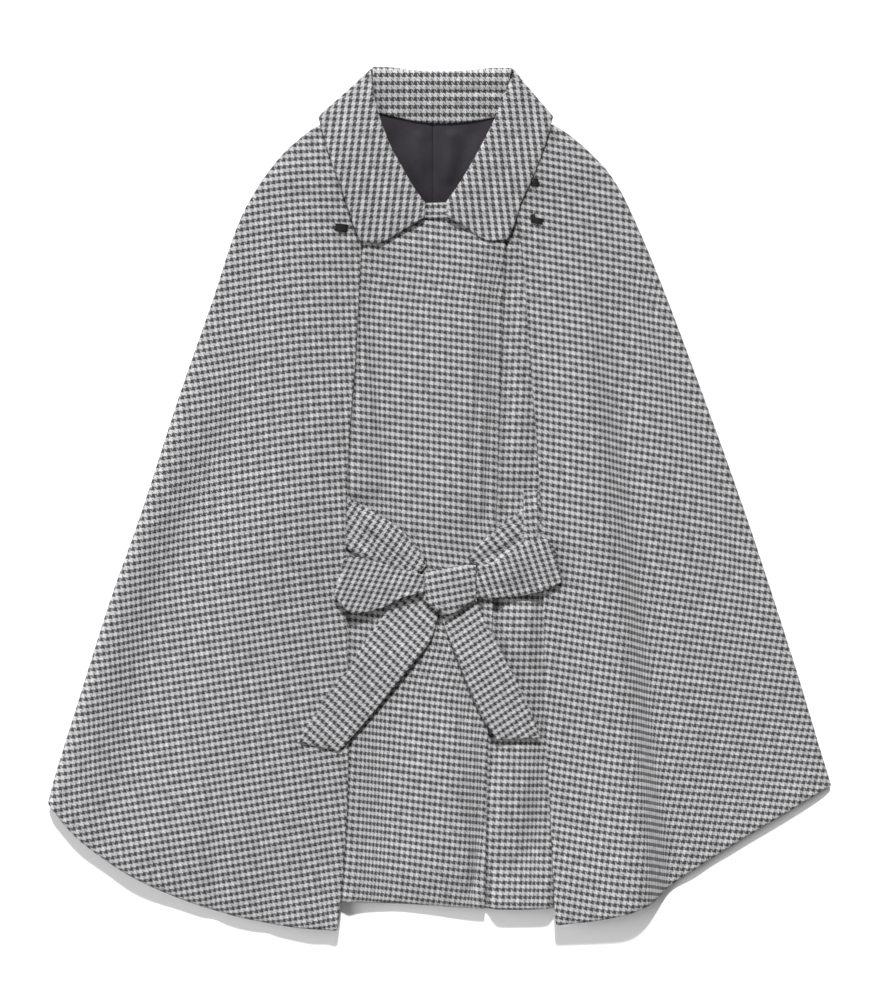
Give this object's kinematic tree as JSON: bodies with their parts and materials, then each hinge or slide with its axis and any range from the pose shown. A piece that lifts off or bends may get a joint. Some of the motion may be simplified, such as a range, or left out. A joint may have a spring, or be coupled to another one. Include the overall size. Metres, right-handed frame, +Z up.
{
  "type": "cape coat",
  "caption": "Houndstooth wool cape coat laid flat, with a turned-down collar, cape fronts over an overlapped coat front, and a belt tied in a bow.",
  "frame": {"origin": "centre of the bounding box, on the flat underside of the back, where the coat rests", "axes": "+Y from the hem toward the collar, +X to the right as seen from above the front, +Z up out of the front"},
  "size_m": [0.784, 0.8646, 0.0188],
  "materials": {
    "wool": "soft matt wool woven in a black and off-white houndstooth",
    "lining": "smooth dark purple-grey satin"
  },
  "bodies": {
    "root": {"cape_back": "wool", "cape_front_left": "wool", "cape_front_right": "wool", "coat_front_over": "wool", "coat_front_under": "wool", "back_lining_left": "lining", "back_lining_right": "lining", "collar_fall": "wool", "collar_stand": "wool", "collar_stand_left": "wool", "collar_stand_right": "wool", "collar_stand_front": "wool", "belt_band_left": "wool", "belt_band_right": "wool", "belt_carrier": "wool", "bow_tail_left": "wool", "bow_tail_right": "wool", "bow_loop_left": "wool", "bow_loop_right": "wool", "bow_knot": "wool"}
  },
  "joints": []
}
